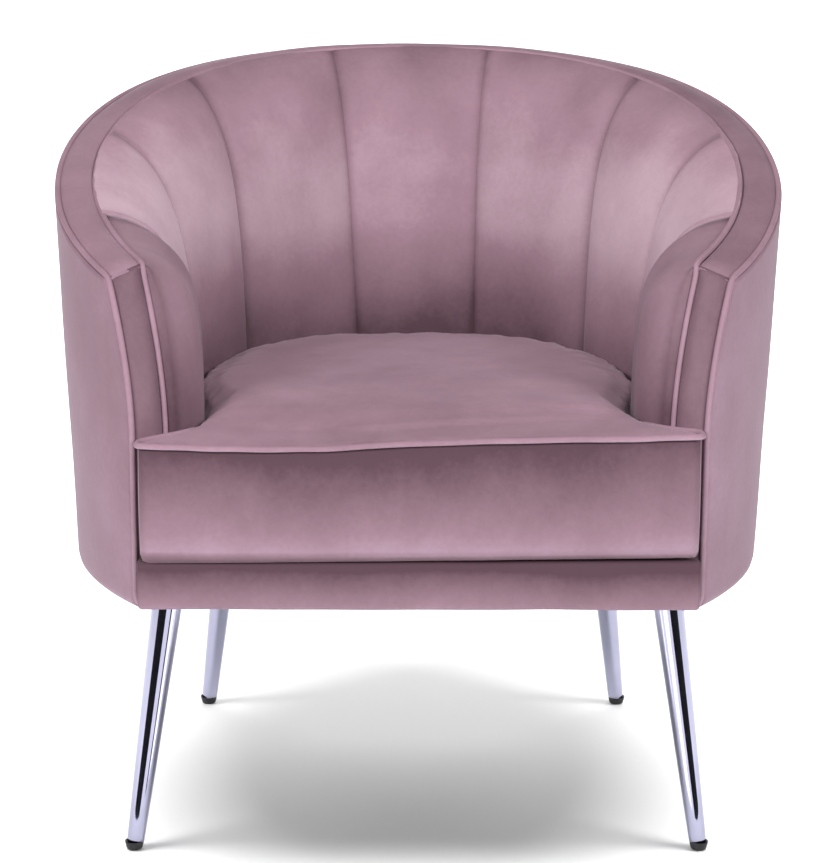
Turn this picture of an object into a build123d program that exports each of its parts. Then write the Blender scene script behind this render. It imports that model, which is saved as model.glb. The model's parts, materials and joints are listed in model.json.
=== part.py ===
from build123d import *
import os
from math import asin, cos, degrees, radians, sin

# A barrel armchair: a velvet tub body on four slanted chrome legs. Millimetres, +Z up, the
# sitter faces -Y. The origin is on the floor under the middle of the chair's outline.

# Plan of the body: a back half ellipse and a front half ellipse about one centre
PLAN_CENTRE_Y = -70.7
HALF_WIDTH = 366.5          # at REFERENCE_HEIGHT
BACK_DEPTH = 404.0          # at REFERENCE_HEIGHT
FRONT_DEPTH = 385.2
REFERENCE_HEIGHT = 650.0
SIDE_FLARE = 0.045          # half width gained per mm of height
BACK_RAKE = 0.11            # back depth gained per mm of height

# Rim: a cubic curve in side view, from the front of the arms up to the back
BODY_BOTTOM = 273.0
RIM_FRONT_Y = -296.1
RIM_BACK_Y = 345.0
RIM_FRONT_HEIGHT = 590.5
RIM_BACK_HEIGHT = 755.9
RIM_BOW_FRONT = 0.414       # share of the rise reached a third of the way back
RIM_BOW_BACK = 0.870        # share of the rise reached two thirds of the way back
INNER_LIFT_FRONT = 2.6      # how much higher the inner piping lies than the outer
INNER_LIFT_BACK = 6.4

# Mouth of the tub: half width of the opening between the outer pipings
MOUTH_HALF_WIDTH = 274.0
MOUTH_FLARE = 22.0          # extra half width at the top of the arms
MOUTH_FLARE_START = 440.0
MOUTH_FLARE_POWER = 1.8

# Layers of the wall, as insets from the outer velvet
COVER_THICKNESS = 3.2
PANEL_OUTER, PANEL_INNER = 3.4, 6.4
FRAME_OUTER, FRAME_INNER = 6.6, 30.0
BASE_OUTER, BASE_INNER = 14.6, 34.0
LAP_INSET = 20.0
LINER_OUTER, LINER_INNER = 31.0, 35.8
RIB_OUTER, RIB_INNER = 36.2, 122.0
RIB_BACK_EXTRA = -24.0      # added to RIB_INNER at the middle of the back
PIPING_PROUD = 2.8
PIPING_WIDTH = 6.0
BOTTOM_EDGE_RADIUS = 5.0
TURN_UNDER = 26.0           # how far the outer velvet is turned in under the frame

# Wooden rails and corner blocks
RAIL_BOTTOM = 276.7
RAIL_TOP = 308.0
FRONT_RAIL_Y = (-321.0, -299.0)
FRONT_RAIL_HALF_WIDTH = 262.0
REAR_RAIL_Y = (113.0, 134.0)
JOINT_GAP = 0.2
FRONT_BLOCK_X, FRONT_BLOCK_Y = (200.0, 310.0), (-298.7, -205.0)
BACK_BLOCK_X, BACK_BLOCK_Y = (160.0, 262.0), (134.2, 240.0)
DECK_HEIGHT = 315.0
SEAT_BOTTOM = 324.5
LUMBAR_BOTTOM, LUMBAR_TOP = 440.0, 470.0
TOP_RAIL_DROP, TOP_RAIL_HEIGHT = 10.0, 24.0

# Screws in the corner blocks: plan position and direction on the right-hand side
SCREWS = ((270, -240, 0), (270, -270, 0), (235, 145, 40), (190, 195, 60))
SCREW_HEIGHT = 288.0
SCREW_RADIUS, SCREW_LENGTH = 2.2, 36.0

# Springs: five zigzags of wire from the front rail to the rear seat rail
SPRING_X = (-150, -75, 0, 75, 150)
SPRING_WIRE_RADIUS = 1.9
SPRING_PITCH = 19.5
SPRING_HALF_WIDTH = 24
SPRING_TURNS = 21
SPRING_START_Y = -307.0
SPRING_HEIGHT = RAIL_TOP + SPRING_WIRE_RADIUS + 0.3
CLIP_HALF_LENGTH, CLIP_HALF_WIDTH, CLIP_HEIGHT = 11.0, 5.0, 5.8
CLIP_METAL = 1.2

# Cloths
DECK_THICKNESS, DECK_FRONT_Y = 1.2, -312.0
DUST_COVER_INSET, DUST_COVER_FRONT_Y = 14.0, -318.0

# Ribs of the tufted wall: plan angles of the seams, measured from the middle of the back
SEAM_ANGLES = (-160.0, -107.0, -78.0, -50.3, -15.4, 15.4, 50.3, 78.0, 107.0, 160.0)
SEAM_GAP_ANGLE = 0.05
ARM_RIB_HALF_WIDTH = 213.5  # the end ribs are flat on the side that faces the cushion
ARM_RIB_BACK_Y = -131.0
RIB_PROFILE = (             # height, inset of the ribs' faces, what is added at the back
    (300, RIB_INNER, RIB_BACK_EXTRA),
    (480, RIB_INNER, RIB_BACK_EXTRA),
    (560, 116, -20),
    (620, 106, -14),
    (660, 94, -4),
    (700, 78, 8),
    (730, 62, 12),
    (790, 40, 10),
)

# Arm ends: plan angles in degrees; a negative margin starts that far behind the front edge
PIPING_MARGIN = 1.0
RIB_MARGIN = -0.3
FACING_MARGIN = -2.2
LINING_MARGIN = -2.4
ARM_POST_MARGIN = -7.5
POST_ANGLES = {"side_post": 68, "back_post": 20}
POST_HALF_ANGLE = 2.5

# Seat cushion, a boxed T: a front bar across the arms and a body between them
SEAT_FRONT_Y = -344.0
SEAT_WING_BACK_Y = -319.0
SEAT_WING_HALF_WIDTH = 266.0
SEAT_NECK_HALF_WIDTH = 212.0
SEAT_NECK_BACK_Y = -185.0
SEAT_FLARE_HALF_WIDTH = 262.0
SEAT_MOUTH_MARGIN = 1.3     # degrees kept clear of the arm fronts
MM_PER_DEGREE = 5.5         # along the plan at the arm fronts
SEAT_EDGE_HEIGHT = 443.0
SEAT_CROWN_HEIGHT = 460.0
SEAT_BACK_HEIGHT = 441.0
SEAT_COVER_THICKNESS = 4.0
SEAT_CLEARANCE = 1.5
SEAT_CORNER_RADIUS = 10.0
SEAT_CROWN_Y, SEAT_BACK_Y = -60.0, 280.0
WELT_PROUD = 4.0
APRON_HALF_WIDTH = 268.0
APRON_Y = (-331.0, -321.4)
APRON_LIP_HALF_WIDTH, APRON_LIP_Y = 200.0, (-322.0, -290.0)

# Legs: tapered tubes that slant outwards, with a glide pressed into each foot
LEG_TOP = 272.0
LEG_TOP_RADIUS = 15.5
LEG_FOOT_RADIUS = 8.5
LEG_WALL = 1.4
LEG_PLUG = 6.0              # thickness of the plug in the leg's top
LEG_OVERRUN = 12.0          # the cone before its slanted ends are cut level
GLIDE_HEIGHT = 8.5
FRONT_FOOT = (285.0, -254.0)
FRONT_LEG_TOP = (246.6, -245.9)
BACK_FOOT = (239.5, 209.5)
BACK_LEG_TOP = (206.6, 169.6)
BOLT_RADIUS = 4.0
BOLT_REACH = 38.0
BOLT_DEPTH = 5.0            # how far the bolt starts below the leg's top
NUT_DEPTH, NUT_LENGTH = 18.0, 13.0
NUT_FLANGE_RADIUS, NUT_FLANGE_THICKNESS = 10.5, 1.6
GLIDE_PROFILE = ((0, 0), (6.6, 0), (8.4, 2.2), (9.8, 6.4), (9.8, 8.4), (0, 8.4))
GLIDE_STEM_LENGTH = 20.0
LEGS = {
    "front_left": (FRONT_FOOT, FRONT_LEG_TOP, -1),
    "front_right": (FRONT_FOOT, FRONT_LEG_TOP, 1),
    "back_left": (BACK_FOOT, BACK_LEG_TOP, -1),
    "back_right": (BACK_FOOT, BACK_LEG_TOP, 1),
}

FAR = 900.0                 # beyond the chair in any direction


def save(shape, node):
    """Write one node as its own STEP file."""
    shape.label = node
    export_step(shape, f"parts/{node}.step")


def box(x_range, y_range, z_range):
    """Box between two limits on each axis."""
    size = [high - low for low, high in (x_range, y_range, z_range)]
    middle = [(high + low) / 2 for low, high in (x_range, y_range, z_range)]
    return Pos(*middle) * Box(*size)


def plan(height, inset, back_extra=0.0):
    """Horizontal section of the body at a height, inset from the outer velvet."""
    rise = height - REFERENCE_HEIGHT
    half_width = HALF_WIDTH + SIDE_FLARE * rise - inset
    back = BACK_DEPTH + BACK_RAKE * rise - inset - back_extra
    centre = (0, PLAN_CENTRE_Y)
    outline = EllipticalCenterArc(centre, half_width, back, 0, arc_size=180)
    outline += EllipticalCenterArc(centre, half_width, FRONT_DEPTH - inset, 180, arc_size=180)
    return Pos(0, 0, height) * make_face(outline)


def barrel(inset, low=BODY_BOTTOM, high=820.0, back_extra=0.0):
    """Solid filling the body's plan between two heights."""
    return loft([plan(low, inset, back_extra), plan(high, inset, back_extra)], ruled=True)


def layer(outer, inner, low=BODY_BOTTOM, high=820.0, back_extra=0.0):
    """Upright layer of the wall between two insets, all round the plan."""
    return barrel(outer, low, high) - barrel(inner, low - 5, high + 5, back_extra)


def under_rim(lift_front, lift_back):
    """Everything below the rim line, lifted at the front and at the back."""
    run = RIM_BACK_Y - RIM_FRONT_Y
    rise = RIM_BACK_HEIGHT - RIM_FRONT_HEIGHT
    lift = lift_back - lift_front
    rim_start = RIM_FRONT_HEIGHT + lift_front
    knots = [(0, 0), (1 / 3, RIM_BOW_FRONT), (2 / 3, RIM_BOW_BACK), (1, 1)]
    points = [(RIM_FRONT_Y + run * s, rim_start + rise * bow + lift * s) for s, bow in knots]
    front_slope = (points[1][1] - points[0][1]) / (points[1][0] - points[0][0])
    back_slope = (points[3][1] - points[2][1]) / (points[3][0] - points[2][0])
    overrun = 60
    front_end = (points[0][0] - overrun, points[0][1] - overrun * front_slope)
    back_end = (points[3][0] + overrun, points[3][1] + overrun * back_slope)
    outline = Line(front_end, points[0]) + Bezier(*points) + Line(points[3], back_end)
    outline += Polyline(back_end, (back_end[0], 0), (front_end[0], 0), front_end)
    side = Plane.YZ * make_face(outline)
    return extrude(side, HALF_WIDTH + 100, both=True)


def rim_band(outer, inner, below, above):
    """Strip that follows the rim between two insets; below and above are (front, back) lifts."""
    strip = layer(outer, inner, RIM_FRONT_HEIGHT - 60) & under_rim(*above)
    return strip - under_rim(*below)


def mouth_angle(height):
    """Plan angle at which the arms end, measured from the middle of the back."""
    rise = max(0.0, min(height, RIM_FRONT_HEIGHT) - MOUTH_FLARE_START)
    share = rise / (RIM_FRONT_HEIGHT - MOUTH_FLARE_START)
    half_mouth = MOUTH_HALF_WIDTH + MOUTH_FLARE * share**MOUTH_FLARE_POWER
    half_width = HALF_WIDTH + SIDE_FLARE * (height - REFERENCE_HEIGHT)
    return 180 - degrees(asin(half_mouth / half_width))


def spoke(height, angle):
    """Point far out along the ray that cuts the plan ellipse at an angle."""
    half_width = HALF_WIDTH + SIDE_FLARE * (height - REFERENCE_HEIGHT)
    reach = FAR / half_width
    depth = FRONT_DEPTH if cos(radians(angle)) < 0 else BACK_DEPTH
    x = reach * half_width * sin(radians(angle))
    return (x, PLAN_CENTRE_Y + reach * depth * cos(radians(angle)))


def mouth(margin=0.0):
    """Front opening of the tub as a solid wedge; a positive margin narrows it, in degrees."""
    sections = []
    for height in (BODY_BOTTOM - 20, MOUTH_FLARE_START, 500, 545, RIM_FRONT_HEIGHT, 830):
        angle = mouth_angle(height) + margin
        corners = [(0, PLAN_CENTRE_Y), spoke(height, angle), (FAR, -2 * FAR), (-FAR, -2 * FAR)]
        corners.append(spoke(height, -angle))
        sections.append(Pos(0, 0, height) * make_face(Polyline(*corners, close=True)))
    return loft(sections, ruled=True)


def sector(start, end):
    """Upright wedge of the plan between two angles, less than half a turn apart."""
    middle = (start + end) / 2
    steps = (start, (start + middle) / 2, middle, (end + middle) / 2, end)
    corners = [(0, PLAN_CENTRE_Y)] + [spoke(REFERENCE_HEIGHT, angle) for angle in steps]
    return Pos(0, 0, 200) * extrude(make_face(Polyline(*corners, close=True)), FAR)


def sides(shape):
    """The left-hand solid (viewed from the front) and the right-hand one."""
    ordered = sorted(shape.solids(), key=lambda solid: solid.center().X)
    return {"left": ordered[0], "right": ordered[-1]}


# Wooden frame ---------------------------------------------------------------------------

def front_rail():
    """Straight rail under the front edge of the seat."""
    x_range = (-FRONT_RAIL_HALF_WIDTH, FRONT_RAIL_HALF_WIDTH)
    return box(x_range, FRONT_RAIL_Y, (RAIL_BOTTOM, RAIL_TOP)) & barrel(COVER_THICKNESS + 2)


def base_rail():
    """Laminated rail bent round the bottom of the tub, butted on the front rail."""
    rail = layer(BASE_OUTER, BASE_INNER, RAIL_BOTTOM, RAIL_TOP)
    return rail & box((-FAR, FAR), (FRONT_BLOCK_Y[0], FAR), (0, FAR))


def rear_seat_rail():
    """Straight cross rail that takes the rear ends of the seat springs."""
    rail = box((-FAR, FAR), REAR_RAIL_Y, (RAIL_BOTTOM, RAIL_TOP))
    return rail & barrel(BASE_INNER + JOINT_GAP)


def top_rail():
    """Laminated rail that carries the rim."""
    low, high = -TOP_RAIL_DROP - TOP_RAIL_HEIGHT, -TOP_RAIL_DROP
    return rim_band(FRAME_OUTER, FRAME_INNER, (low, low), (high, high)) - mouth(LINING_MARGIN)


def lumbar_rail():
    """Thin rail half lapped into the posts, behind the small of the back."""
    rail = layer(LAP_INSET + JOINT_GAP, FRAME_INNER, LUMBAR_BOTTOM, LUMBAR_TOP)
    return rail - mouth(LINING_MARGIN)


def notched_ring():
    """Ring of upright wood below the top rail, notched for the lumbar rail."""
    drop = -TOP_RAIL_DROP - TOP_RAIL_HEIGHT - JOINT_GAP
    ring = layer(FRAME_OUTER, FRAME_INNER, RAIL_TOP + JOINT_GAP) & under_rim(drop, drop)
    notch_heights = (LUMBAR_BOTTOM - JOINT_GAP, LUMBAR_TOP + JOINT_GAP)
    return ring - layer(LAP_INSET, FRAME_INNER + 2, *notch_heights)


def post(angle):
    """Upright between base rail and top rail at a plan angle."""
    return notched_ring() & sector(angle - POST_HALF_ANGLE, angle + POST_HALF_ANGLE)


def arm_posts():
    """Uprights at the front ends of the arms."""
    return sides((notched_ring() & mouth(ARM_POST_MARGIN)) - mouth(LINING_MARGIN))


def leg_axis(foot, top, side):
    """Foot point and unit direction of a leg, on the side given by -1 or +1."""
    start = Vector(side * foot[0], foot[1], 0)
    end = Vector(side * top[0], top[1], LEG_TOP)
    return start, (end - start).normalized()


def along_leg(foot, top, side, height):
    """Plane across a leg, at the point where its axis reaches a height."""
    start, direction = leg_axis(foot, top, side)
    return Plane(start + direction * (height / direction.Z), z_dir=direction)


def cylinder(plane, radius, length):
    """Cylinder that rises from a plane."""
    return plane * Cylinder(radius, length, align=(Align.CENTER, Align.CENTER, Align.MIN))


def leg_bolt(foot, top, side):
    """Threaded stud from the leg's top plug up into the corner block."""
    return cylinder(along_leg(foot, top, side, LEG_TOP - BOLT_DEPTH), BOLT_RADIUS, BOLT_REACH)


def tee_nut(foot, top, side):
    """Threaded insert in the corner block, with a flange on its upper end."""
    plane = along_leg(foot, top, side, RAIL_TOP - NUT_DEPTH)
    flange = cylinder(plane.offset(NUT_LENGTH), NUT_FLANGE_RADIUS, NUT_FLANGE_THICKNESS)
    nut = cylinder(plane, BOLT_RADIUS + 1.5, NUT_LENGTH) + flange
    return nut - cylinder(plane.offset(-1), BOLT_RADIUS, 2 * NUT_LENGTH)


def corner_block(foot, top, side):
    """Block glued inside the rails, drilled on the slant of its leg."""
    if foot[1] < 0:
        x_range, y_range = FRONT_BLOCK_X, FRONT_BLOCK_Y
    else:
        x_range, y_range = BACK_BLOCK_X, BACK_BLOCK_Y
    if side < 0:
        x_range = (-x_range[1], -x_range[0])
    block = box(x_range, y_range, (RAIL_BOTTOM, RAIL_TOP)) & barrel(BASE_INNER + JOINT_GAP)
    low, high = LEG_TOP - BOLT_DEPTH, RAIL_TOP - NUT_DEPTH
    shank = cylinder(along_leg(foot, top, side, low), BOLT_RADIUS + 1.6, BOLT_REACH + 20)
    flange_seat = along_leg(foot, top, side, high).offset(NUT_LENGTH - 0.1)
    recess = cylinder(flange_seat, NUT_FLANGE_RADIUS + 0.5, 30)
    return block - shank - recess


def block_screws():
    """Two screws through each corner block into the base rail."""
    screws = []
    for side in (-1, 1):
        for x, y, angle in SCREWS:
            direction = Vector(side * cos(radians(angle)), sin(radians(angle)), 0)
            start = Vector(side * x, y, SCREW_HEIGHT) - direction * (SCREW_LENGTH / 3)
            screws.append(cylinder(Plane(start, z_dir=direction), SCREW_RADIUS, SCREW_LENGTH))
    return screws


# Springing and lining -------------------------------------------------------------------

def seat_spring():
    """One sinuous spring: a flat zigzag of wire with round turns, front to back."""
    corners = []
    for turn in range(SPRING_TURNS + 1):
        x = SPRING_HALF_WIDTH if turn % 2 else -SPRING_HALF_WIDTH
        y = SPRING_START_Y + turn * SPRING_PITCH
        corners += [(x, y, SPRING_HEIGHT), (-x, y, SPRING_HEIGHT)]
    path = FilletPolyline(*corners[1:], radius=SPRING_PITCH / 2 - JOINT_GAP)
    profile = Plane(path @ 0, z_dir=path % 0) * Circle(SPRING_WIRE_RADIUS)
    return sweep(profile, path=path)


def spring_clips():
    """Steel clips that hold the end wires of each spring down on the rails."""
    last_y = SPRING_START_Y + SPRING_TURNS * SPRING_PITCH
    half_length, half_width = CLIP_HALF_LENGTH, CLIP_HALF_WIDTH
    clips = []
    for x in SPRING_X:
        for y in (SPRING_START_Y, last_y):
            x_range, y_range = (x - half_length, x + half_length), (y - half_width, y + half_width)
            outer = box(x_range, y_range, (RAIL_TOP + 0.1, RAIL_TOP + CLIP_HEIGHT))
            slot_x = (x_range[0] - 1, x_range[1] + 1)
            slot_y = (y_range[0] + 2 * CLIP_METAL, y_range[1] - 2 * CLIP_METAL)
            clips.append(outer - box(slot_x, slot_y, (RAIL_TOP, RAIL_TOP + CLIP_HEIGHT - CLIP_METAL)))
    return clips


def deck_cloth():
    """Cloth stretched over the springs, from rail to rail."""
    cloth = barrel(BASE_INNER, DECK_HEIGHT, DECK_HEIGHT + DECK_THICKNESS)
    return cloth & box((-FAR, FAR), (DECK_FRONT_Y, FAR), (0, FAR))


def dust_cover():
    """Black cloth over the underside of the frame."""
    cloth = barrel(DUST_COVER_INSET, BODY_BOTTOM - 1, BODY_BOTTOM)
    cloth &= box((-FAR, FAR), (DUST_COVER_FRONT_Y, FAR), (0, FAR))
    for foot, top, side in LEGS.values():
        bolt_foot = along_leg(foot, top, side, LEG_TOP - BOLT_DEPTH)
        cloth -= cylinder(bolt_foot, BOLT_RADIUS + 0.5, BOLT_REACH)
    return cloth


# Velvet skins and padding ---------------------------------------------------------------

def rounded_barrel(inset, low, radius):
    """Barrel whose lower edge is rounded under."""
    body = barrel(inset, low)
    return fillet(body.faces().sort_by(Axis.Z)[0].edges(), radius)


def outer_cover():
    """Velvet skin round the outside, turned under the frame."""
    inner_radius = BOTTOM_EDGE_RADIUS - COVER_THICKNESS
    skin = rounded_barrel(0, BODY_BOTTOM, BOTTOM_EDGE_RADIUS)
    skin -= rounded_barrel(COVER_THICKNESS, BODY_BOTTOM + COVER_THICKNESS, inner_radius)
    skin -= barrel(TURN_UNDER, BODY_BOTTOM - 5, BODY_BOTTOM + 10)
    below = -PIPING_WIDTH / 2 - 0.1
    return (skin & under_rim(below, below)) - mouth(0)


def back_panel():
    """Thin bent panel nailed round the outside of the frame."""
    panel = layer(PANEL_OUTER, PANEL_INNER, RAIL_TOP + 1)
    return (panel & under_rim(-TOP_RAIL_DROP, -TOP_RAIL_DROP)) - mouth(LINING_MARGIN)


def inner_liner():
    """Webbing and wadding behind the ribs."""
    liner = layer(LINER_OUTER, LINER_INNER, SEAT_BOTTOM + 2)
    return (liner & under_rim(-TOP_RAIL_DROP, -TOP_RAIL_DROP)) - mouth(LINING_MARGIN)


def rim_pad():
    """Padded velvet band on top of the wall, between the two pipings."""
    low = -TOP_RAIL_DROP + 0.2
    top = (INNER_LIFT_FRONT / 2, INNER_LIFT_BACK / 2)
    return rim_band(COVER_THICKNESS, LINER_INNER, (low, low), top) - mouth(0)


def arm_facings():
    """Padded velvet strips on the front ends of the arms."""
    drop = -TOP_RAIL_DROP
    strip = layer(COVER_THICKNESS + JOINT_GAP, LINER_INNER, SEAT_BOTTOM) & under_rim(drop, drop)
    return sides((strip & mouth(FACING_MARGIN)) - mouth(0))


def outer_piping():
    """Welt up the outer edge of each arm front and all round the rim."""
    width = PIPING_WIDTH / 2
    round_rim = rim_band(-PIPING_PROUD, COVER_THICKNESS, (-width, -width), (width, width))
    fronts = layer(-PIPING_PROUD, COVER_THICKNESS, BODY_BOTTOM) & under_rim(width, width)
    return (round_rim - mouth(0)) + ((fronts & mouth(0)) - mouth(PIPING_MARGIN))


def inner_piping():
    """Welt up the inner edge of each arm front and round the top of the ribs."""
    width = PIPING_WIDTH / 2
    top = (INNER_LIFT_FRONT + width, INNER_LIFT_BACK + width)
    low = (INNER_LIFT_FRONT - width, INNER_LIFT_BACK - width)
    outer = LINER_INNER + JOINT_GAP
    inner = outer + PIPING_WIDTH
    round_rim = rim_band(outer, inner, low, top)
    fronts = layer(outer, inner, SEAT_CROWN_HEIGHT - 6) & under_rim(*top)
    return (round_rim - mouth(0)) + ((fronts & mouth(0)) - mouth(PIPING_MARGIN))


def ribs():
    """The padded upright ribs of the back and arms, from one arm front to the other."""
    width = PIPING_WIDTH / 2 + JOINT_GAP
    low = SEAT_BOTTOM + 2
    faces = loft([plan(*level) for level in RIB_PROFILE], ruled=True)
    arm_x = (-ARM_RIB_HALF_WIDTH, ARM_RIB_HALF_WIDTH)
    pads = barrel(RIB_OUTER, low) - faces - box(arm_x, (-FAR, ARM_RIB_BACK_Y), (0, FAR))
    pads &= under_rim(INNER_LIFT_FRONT - width, INNER_LIFT_BACK - width)
    pads -= mouth(RIB_MARGIN)
    seams = zip(SEAM_ANGLES, SEAM_ANGLES[1:])
    return [pads & sector(start + SEAM_GAP_ANGLE, end - SEAM_GAP_ANGLE) for start, end in seams]


def apron():
    """Padded velvet border over the front rail, lipped over the front of the deck."""
    high = SEAT_BOTTOM - SEAT_CLEARANCE
    border = box((-APRON_HALF_WIDTH, APRON_HALF_WIDTH), APRON_Y, (BODY_BOTTOM, high))
    lip_x = (-APRON_LIP_HALF_WIDTH, APRON_LIP_HALF_WIDTH)
    lip_low = DECK_HEIGHT + DECK_THICKNESS + JOINT_GAP
    return border + box(lip_x, APRON_LIP_Y, (lip_low, high))


def seat_plan(inset):
    """Outline of the T cushion as an upright solid, drawn in by an inset."""
    heights = (SEAT_BOTTOM, SEAT_CROWN_HEIGHT + 20)
    body = barrel(RIB_INNER + SEAT_CLEARANCE + inset, *heights, RIB_BACK_EXTRA)
    body &= box((-FAR, FAR), (SEAT_NECK_BACK_Y, FAR), heights)
    neck_half = SEAT_NECK_HALF_WIDTH - inset
    flare_half = SEAT_FLARE_HALF_WIDTH - inset
    neck_y = (SEAT_WING_BACK_Y - 10, SEAT_NECK_BACK_Y + 5)
    body += box((-neck_half, neck_half), neck_y, heights)
    flare = box((-flare_half, flare_half), neck_y, heights)
    body += flare & mouth(SEAT_MOUTH_MARGIN + inset / MM_PER_DEGREE)
    wing_half = SEAT_WING_HALF_WIDTH - inset
    wing_y = (SEAT_FRONT_Y + inset, SEAT_WING_BACK_Y - inset)
    wing = box((-wing_half, wing_half), wing_y, heights)
    return body + fillet(wing.edges().filter_by(Axis.Z).group_by(Axis.Y)[0], SEAT_CORNER_RADIUS)


def seat_height(drop):
    """Everything between the seat's underside and its crowned top, drawn in by a drop."""
    front = (SEAT_FRONT_Y - 20, SEAT_EDGE_HEIGHT - drop)
    middle = (SEAT_CROWN_Y, SEAT_CROWN_HEIGHT - drop)
    back = (SEAT_BACK_Y, SEAT_BACK_HEIGHT - drop)
    low = SEAT_BOTTOM + drop
    outline = ThreePointArc(front, middle, back)
    outline += Polyline(back, (back[0], low), (front[0], low), front)
    return extrude(Plane.YZ * make_face(outline), 400, both=True)


def seat_cushion():
    """Velvet cover of the seat cushion and the foam core inside it."""
    outside = seat_plan(0) & seat_height(0)
    inside = seat_plan(SEAT_COVER_THICKNESS) & seat_height(SEAT_COVER_THICKNESS)
    core = seat_plan(SEAT_COVER_THICKNESS + 0.5) & seat_height(SEAT_COVER_THICKNESS + 0.5)
    return outside - inside, core


def seat_welt():
    """Piping round the upper front edge of the cushion."""
    reach = SEAT_WING_HALF_WIDTH + 2
    heights = (SEAT_EDGE_HEIGHT - PIPING_WIDTH, SEAT_EDGE_HEIGHT)
    strip = box((-reach, reach), (SEAT_FRONT_Y - WELT_PROUD, SEAT_FRONT_Y + 8), heights)
    strip = fillet(strip.edges().filter_by(Axis.Z).group_by(Axis.Y)[0], SEAT_CORNER_RADIUS + 1)
    return strip - seat_plan(0)


# Legs -----------------------------------------------------------------------------------

def leg(foot, top, side):
    """Tapered chromed tube with a plug welded in its top for the stud."""
    start, direction = leg_axis(foot, top, side)
    length = LEG_TOP / direction.Z
    taper = (LEG_TOP_RADIUS - LEG_FOOT_RADIUS) / length

    def cone(wall):
        low = LEG_FOOT_RADIUS - taper * LEG_OVERRUN - wall
        high = LEG_TOP_RADIUS + taper * LEG_OVERRUN - wall
        plane = Plane(start - direction * LEG_OVERRUN, z_dir=direction)
        align = (Align.CENTER, Align.CENTER, Align.MIN)
        return plane * Cone(low, high, length + 2 * LEG_OVERRUN, align=align)

    tube = cone(0) & box((-FAR, FAR), (-FAR, FAR), (GLIDE_HEIGHT, LEG_TOP))
    hollow = cone(LEG_WALL) & box((-FAR, FAR), (-FAR, FAR), (0, LEG_TOP - LEG_PLUG))
    return tube - hollow - leg_bolt(foot, top, side)


def glide(foot, top, side):
    """Plastic glide: a flared cup under the tube and a stem pressed into it."""
    profile = Polyline(*GLIDE_PROFILE, close=True)
    cup = Pos(side * foot[0], foot[1], 0) * revolve(Plane.XZ * make_face(profile), Axis.Z)
    plane = along_leg(foot, top, side, GLIDE_HEIGHT - 3)
    stem = cylinder(plane, LEG_FOOT_RADIUS - LEG_WALL - 0.1, GLIDE_STEM_LENGTH)
    return cup + stem


def main():
    os.makedirs("parts", exist_ok=True)
    screws = block_screws()
    rail = base_rail()
    for screw in screws:
        rail -= screw
    save(rail, "base_rail")
    for place, spot in LEGS.items():
        block = corner_block(*spot)
        for screw in screws:
            block -= screw
        save(block, f"corner_block_{place}")
        save(leg(*spot), f"leg_{place}")
        save(glide(*spot), f"glide_{place}")
    save(Compound(screws), "block_screws")
    save(Compound([leg_bolt(*spot) for spot in LEGS.values()]), "leg_bolts")
    save(Compound([tee_nut(*spot) for spot in LEGS.values()]), "tee_nuts")

    save(front_rail(), "front_rail")
    save(rear_seat_rail(), "rear_seat_rail")
    save(top_rail(), "top_rail")
    save(lumbar_rail(), "lumbar_rail")
    for side, upright in arm_posts().items():
        save(upright, f"arm_post_{side}")
    for name, angle in POST_ANGLES.items():
        save(post(-angle), f"{name}_left")
        save(post(angle), f"{name}_right")

    spring = seat_spring()
    save(Compound([Pos(x, 0, 0) * spring for x in SPRING_X]), "seat_springs")
    save(Compound(spring_clips()), "spring_clips")
    save(deck_cloth(), "deck_cloth")
    save(dust_cover(), "dust_cover")

    save(outer_cover(), "outer_cover")
    save(back_panel(), "back_panel")
    save(inner_liner(), "inner_liner")
    save(rim_pad(), "rim_pad")
    for side, strip in arm_facings().items():
        save(strip, f"arm_facing_{side}")
    save(outer_piping(), "outer_piping")
    save(inner_piping(), "inner_piping")
    for number, rib in enumerate(ribs(), start=1):
        save(rib, f"rib_{number}")
    save(apron(), "apron")
    cover, core = seat_cushion()
    save(cover, "seat_cover")
    save(core, "seat_core")
    save(seat_welt(), "seat_welt")


main()
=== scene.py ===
import json
from math import asin, cos, exp, pi, radians, sin

import bmesh
import bpy
from mathutils import Matrix, Quaternion, Vector, noise


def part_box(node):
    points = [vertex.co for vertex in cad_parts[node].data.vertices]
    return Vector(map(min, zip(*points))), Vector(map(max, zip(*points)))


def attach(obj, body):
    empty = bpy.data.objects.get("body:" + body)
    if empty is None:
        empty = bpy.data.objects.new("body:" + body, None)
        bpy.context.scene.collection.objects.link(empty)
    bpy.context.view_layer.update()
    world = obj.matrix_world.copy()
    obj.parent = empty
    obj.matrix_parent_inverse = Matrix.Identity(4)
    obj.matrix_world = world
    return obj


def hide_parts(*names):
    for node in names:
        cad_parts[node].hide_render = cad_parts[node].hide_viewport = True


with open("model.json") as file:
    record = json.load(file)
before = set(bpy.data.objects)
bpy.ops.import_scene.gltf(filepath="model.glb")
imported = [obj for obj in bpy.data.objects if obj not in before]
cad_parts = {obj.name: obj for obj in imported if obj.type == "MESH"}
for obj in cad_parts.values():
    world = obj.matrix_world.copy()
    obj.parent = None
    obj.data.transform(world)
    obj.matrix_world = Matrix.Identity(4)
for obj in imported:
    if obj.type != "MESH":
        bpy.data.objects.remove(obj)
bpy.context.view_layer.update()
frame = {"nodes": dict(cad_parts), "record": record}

scene = bpy.context.scene

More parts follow.
